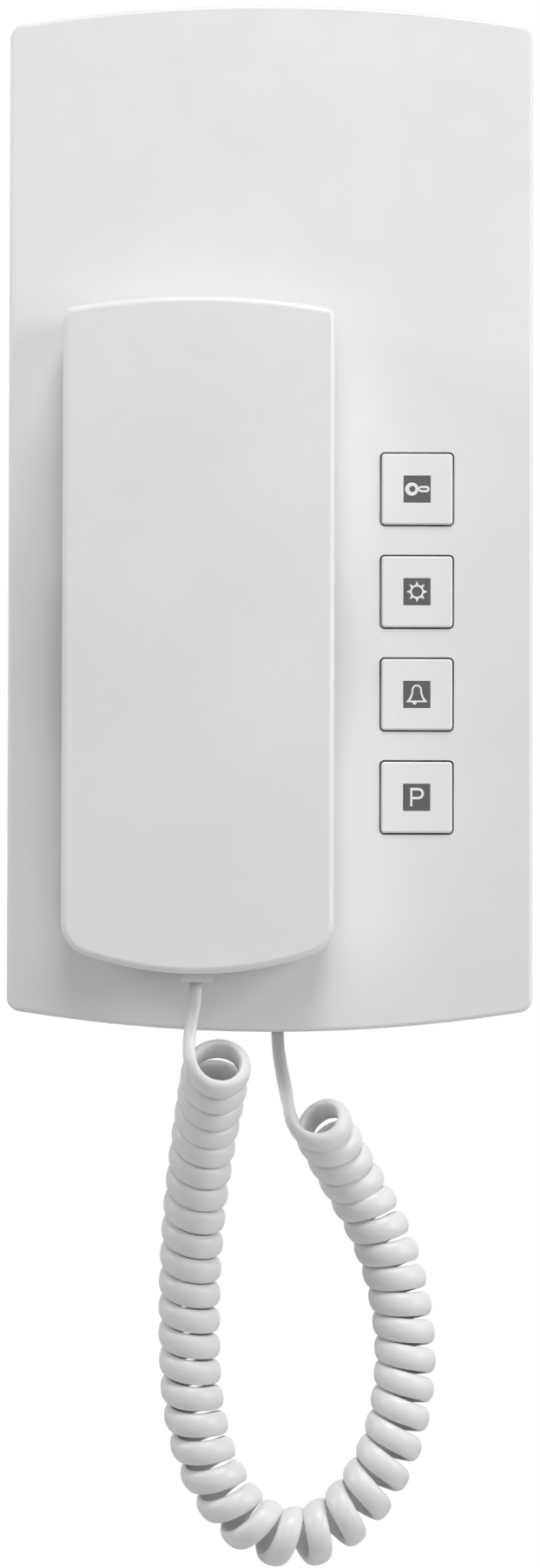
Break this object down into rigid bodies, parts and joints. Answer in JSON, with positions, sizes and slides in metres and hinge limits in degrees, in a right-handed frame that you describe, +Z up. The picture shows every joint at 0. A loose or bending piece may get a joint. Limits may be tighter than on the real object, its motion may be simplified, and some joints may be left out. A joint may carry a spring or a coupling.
{
  "type": "intercom handset station",
  "caption": "Wall-mounted indoor audio intercom with a slim handset in two cradle recesses, a column of square keys and a curly cord that hangs in a loop below.",
  "frame": {"origin": "centre of the wall plate's back, on the wall, midway between its four screw holes", "axes": "+Z up, +X to the viewer's right, -Y out of the wall towards the viewer, +Y into the wall"},
  "size_m": [0.105, 0.05, 0.313],
  "materials": {
    "housing": "satin white",
    "tray": "matt white",
    "keycap": "satin white",
    "key_tile": "satin grey",
    "cord": "satin white",
    "plug": "glossy white",
    "socket": "matt off-white",
    "board": "satin green",
    "dark_plastic": "matt black",
    "terminal": "matt blue",
    "fastener": "plain steel",
    "spring": "plain spring steel",
    "soft_black": "matt black",
    "weight": "plain grey"
  },
  "bodies": {
    "base": {"wall_plate": "tray", "front_cover": "housing", "cover_screw": "fastener", "circuit_board": "board", "board_screws": "fastener", "push_switches": "dark_plastic", "terminal_block": "terminal", "terminal_screws": "fastener", "call_sounder": "dark_plastic", "hook_switch": "dark_plastic", "hook_spring": "spring", "base_cord_socket": "socket", "base_cord_plug": "plug", "cord_base_lead": "cord", "curly_cord": "cord"},
    "handset": {"handset_front": "housing", "handset_back": "housing", "handset_screws": "fastener", "receiver_gasket": "soft_black", "ear_receiver": "dark_plastic", "microphone_boot": "soft_black", "microphone": "dark_plastic", "handset_weight": "weight", "handset_cord_socket": "socket", "handset_cord_plug": "plug", "cord_handset_lead": "cord"},
    "hook": {"hook_plunger": "keycap"},
    "door_press": {"door_key": "keycap", "door_key_tile": "key_tile", "door_switch_button": "dark_plastic"},
    "light_press": {"light_key": "keycap", "light_key_tile": "key_tile", "light_switch_button": "dark_plastic"},
    "bell_press": {"bell_key": "keycap", "bell_key_tile": "key_tile", "bell_switch_button": "dark_plastic"},
    "parking_press": {"parking_key": "keycap", "parking_key_tile": "key_tile", "parking_switch_button": "dark_plastic"}
  },
  "joints": [
    {"name": "handset_lift", "type": "slide", "parent": "base", "child": "handset", "axis": [0, -1, 0], "range_m": [0, 0.03], "deforming": ["curly_cord"]},
    {"name": "hook_rise", "type": "slide", "parent": "base", "child": "hook", "axis": [0, -1, 0], "range_m": [0, 0.0035], "deforming": ["hook_spring"]},
    {"name": "door_key_press", "type": "slide", "parent": "base", "child": "door_press", "axis": [0, 1, 0], "range_m": [0, 0.0008], "stiffness_N_per_m": 1000},
    {"name": "light_key_press", "type": "slide", "parent": "base", "child": "light_press", "axis": [0, 1, 0], "range_m": [0, 0.0008], "stiffness_N_per_m": 1000},
    {"name": "bell_key_press", "type": "slide", "parent": "base", "child": "bell_press", "axis": [0, 1, 0], "range_m": [0, 0.0008], "stiffness_N_per_m": 1000},
    {"name": "parking_key_press", "type": "slide", "parent": "base", "child": "parking_press", "axis": [0, 1, 0], "range_m": [0, 0.0008], "stiffness_N_per_m": 1000}
  ],
  "couplings": [
    {"joint": "hook_rise", "follows": "handset_lift", "ratio": 0.11667}
  ]
}
